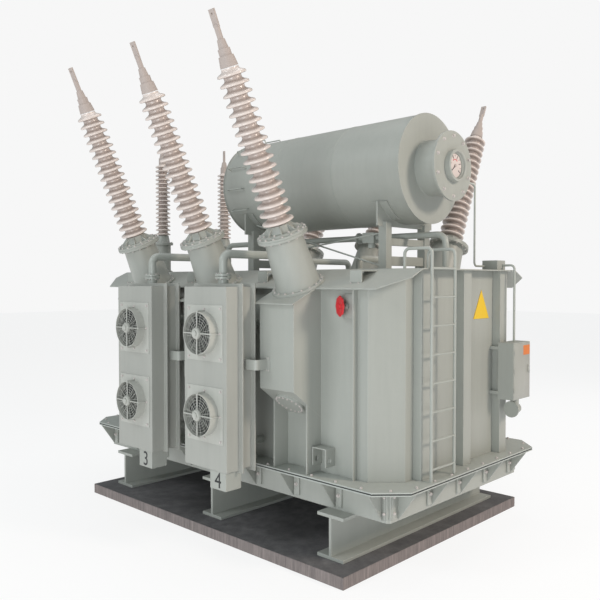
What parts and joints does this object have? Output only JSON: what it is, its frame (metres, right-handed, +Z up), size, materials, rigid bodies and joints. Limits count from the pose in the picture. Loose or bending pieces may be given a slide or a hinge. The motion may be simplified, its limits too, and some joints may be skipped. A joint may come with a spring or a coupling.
{
  "type": "power transformer",
  "caption": "Oil-filled power transformer with tilted bushings, fan coolers, conservator, ladder and base beams on a concrete plinth.",
  "frame": {"origin": "middle of the plinth's underside on the ground", "axes": "+X along the tank towards the ladder end, -Y towards the numbered coolers, +Z up"},
  "size_m": [5.719, 5.3308, 5.7122],
  "materials": {
    "tank_paint": "satin",
    "concrete": "rough",
    "porcelain": "glazed",
    "terminal_metal": "satin",
    "red_paint": "gloss",
    "gauge_face": "satin",
    "gasket": "matte",
    "fan_metal": "satin",
    "yellow_plate": "satin"
  },
  "bodies": {
    "transformer": {"base_beams": "tank_paint", "blank_plate": "yellow_plate", "bottom_tank": "tank_paint", "climbing_steps": "tank_paint", "conduits": "tank_paint", "conservator_frame_left": "tank_paint", "conservator_frame_right": "tank_paint", "conservator_shell": "tank_paint", "control_cabinet": "tank_paint", "cooler_return_pipes": "tank_paint", "flange_gasket": "gasket", "frame_brace_rods": "tank_paint", "front_box_legs": "tank_paint", "front_bushing_bases": "tank_paint", "front_cooler_left": "tank_paint", "front_cooler_pipes": "tank_paint", "front_cooler_right": "tank_paint", "front_fan_guards": "tank_paint", "front_fan_motors": "fan_metal", "front_insulators": "porcelain", "front_terminals": "terminal_metal", "front_turret_boxes": "tank_paint", "front_turrets": "tank_paint", "gas_relay": "tank_paint", "gauge_neck": "tank_paint", "handwheels": "red_paint", "hauling_lugs": "tank_paint", "header_pipe": "tank_paint", "junction_box": "tank_paint", "ladder": "tank_paint", "lifting_brackets": "tank_paint", "lower_flange": "tank_paint", "neutral_insulators": "porcelain", "neutral_terminals": "terminal_metal", "neutral_turrets": "tank_paint", "number_boxes": "tank_paint", "oil_gauge": "gauge_face", "plinth": "concrete", "rear_box_legs": "tank_paint", "rear_bushing_bases": "tank_paint", "rear_cooler_left": "tank_paint", "rear_cooler_pipes": "tank_paint", "rear_cooler_right": "tank_paint", "rear_fan_guards": "tank_paint", "rear_fans": "fan_metal", "rear_insulators": "porcelain", "rear_terminals": "terminal_metal", "rear_turret_boxes": "tank_paint", "rear_turrets": "tank_paint", "skirt_gussets": "tank_paint", "tank_body": "tank_paint", "tank_cover": "tank_paint", "tie_straps": "tank_paint", "upper_flange": "tank_paint", "wall_ribs": "tank_paint"},
    "fan_rotor_left_lower_body": {"fan_rotor_left_lower": "fan_metal"},
    "fan_rotor_left_upper_body": {"fan_rotor_left_upper": "fan_metal"},
    "fan_rotor_right_lower_body": {"fan_rotor_right_lower": "fan_metal"},
    "fan_rotor_right_upper_body": {"fan_rotor_right_upper": "fan_metal"}
  },
  "joints": [
    {"name": "spin_left_lower", "type": "hinge", "parent": "transformer", "child": "fan_rotor_left_lower_body", "pos_m": [-0.687, -2.248, 1.592], "axis": [0, -1, 0], "continuous": true},
    {"name": "spin_left_upper", "type": "hinge", "parent": "transformer", "child": "fan_rotor_left_upper_body", "pos_m": [-0.687, -2.248, 2.489], "axis": [0, -1, 0], "continuous": true},
    {"name": "spin_right_lower", "type": "hinge", "parent": "transformer", "child": "fan_rotor_right_lower_body", "pos_m": [0.687, -2.248, 1.592], "axis": [0, -1, 0], "continuous": true},
    {"name": "spin_right_upper", "type": "hinge", "parent": "transformer", "child": "fan_rotor_right_upper_body", "pos_m": [0.687, -2.248, 2.489], "axis": [0, -1, 0], "continuous": true}
  ]
}
